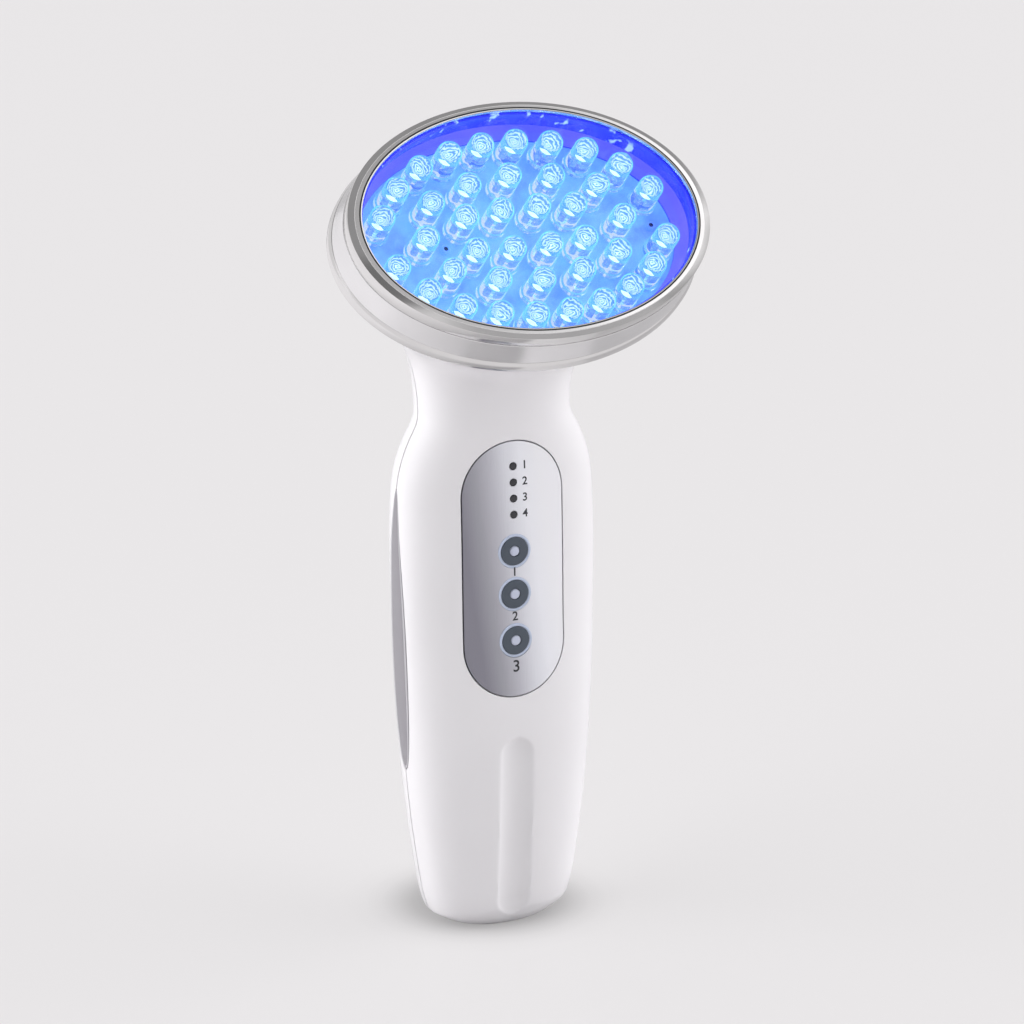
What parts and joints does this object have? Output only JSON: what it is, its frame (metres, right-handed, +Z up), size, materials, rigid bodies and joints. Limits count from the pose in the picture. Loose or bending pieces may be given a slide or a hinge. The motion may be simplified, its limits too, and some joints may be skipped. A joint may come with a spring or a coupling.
{
  "type": "acne light therapy wand",
  "caption": "Handheld light therapy wand: a tilted oval head of blue lamps on an upright oval handle with a brushed strip of push buttons, side grips and a finger groove.",
  "frame": {"origin": "middle of the base, on the surface that the wand stands on", "axes": "+Z up along the handle, -Y towards the side that the panel and the lamps face, +X to the right as seen from the panel's side"},
  "size_m": [0.0772, 0.0486, 0.1687],
  "materials": {
    "white_shell": "glossy white moulded ABS",
    "plated_rim": "chrome-plated ABS",
    "silver_band": "bright silver-coated ABS",
    "clear_window": "clear polycarbonate",
    "chamber_wall": "polished reflector, lit blue by the lamps",
    "lamps_on_board": "clear lamps on a white board, lit blue",
    "brushed_panel": "brushed",
    "slate_button": "satin dark slate",
    "pale_ring": "translucent pale blue-grey",
    "dark_lens": "smoked lens",
    "grey_grip": "satin grey overmould",
    "keypad_rubber": "silicone sheet",
    "dark_plastic": "moulded",
    "circuit_board": "green circuit board",
    "steel": "plain",
    "cell_sleeve": "sleeved rechargeable cell",
    "wire_cover": "insulated wire"
  },
  "bodies": {
    "wand": {"front_shell": "white_shell", "back_shell": "white_shell", "front_rim": "plated_rim", "rear_rim": "plated_rim", "head_band": "silver_band", "window": "clear_window", "light_chamber": "chamber_wall", "lamp_board": "lamps_on_board", "control_panel": "brushed_panel", "mode_button_1_collar": "pale_ring", "mode_button_2_collar": "pale_ring", "power_button_collar": "pale_ring", "indicator_lens_1": "dark_lens", "indicator_lens_2": "dark_lens", "indicator_lens_3": "dark_lens", "indicator_lens_4": "dark_lens", "side_grip_left": "grey_grip", "side_grip_right": "grey_grip", "keypad": "keypad_rubber", "tact_switch_1": "dark_plastic", "tact_switch_2": "dark_plastic", "tact_switch_3": "dark_plastic", "controller_chip": "dark_plastic", "driver_chip": "dark_plastic", "driver_coil": "dark_plastic", "battery_cradle": "dark_plastic", "charge_socket": "dark_plastic", "control_board": "circuit_board", "shell_screw_1": "steel", "shell_screw_2": "steel", "shell_screw_3": "steel", "shell_screw_4": "steel", "control_board_screw_1": "steel", "control_board_screw_2": "steel", "control_board_screw_3": "steel", "control_board_screw_4": "steel", "lamp_board_screw_left": "steel", "lamp_board_screw_right": "steel", "cell_bridge": "steel", "cell_contact_left": "steel", "cell_contact_right": "steel", "battery_cell_left": "cell_sleeve", "battery_cell_right": "cell_sleeve", "lamp_wire_left": "wire_cover", "lamp_wire_right": "wire_cover", "charge_wire_left": "wire_cover", "charge_wire_right": "wire_cover", "battery_wire_left": "wire_cover", "battery_wire_right": "wire_cover"},
    "mode_button_1": {"mode_button_1": "slate_button", "mode_button_1_dot": "pale_ring"},
    "mode_button_2": {"mode_button_2": "slate_button", "mode_button_2_dot": "pale_ring"},
    "power_button": {"power_button": "slate_button", "power_button_dot": "pale_ring"}
  },
  "joints": [
    {"name": "mode_button_1_press", "type": "slide", "parent": "wand", "child": "mode_button_1", "axis": [0, 1, 0], "range_m": [0, 0.0004], "stiffness_N_per_m": 2500},
    {"name": "mode_button_2_press", "type": "slide", "parent": "wand", "child": "mode_button_2", "axis": [0, 1, 0], "range_m": [0, 0.0004], "stiffness_N_per_m": 2500},
    {"name": "power_button_press", "type": "slide", "parent": "wand", "child": "power_button", "axis": [0, 1, 0], "range_m": [0, 0.0004], "stiffness_N_per_m": 2500}
  ]
}
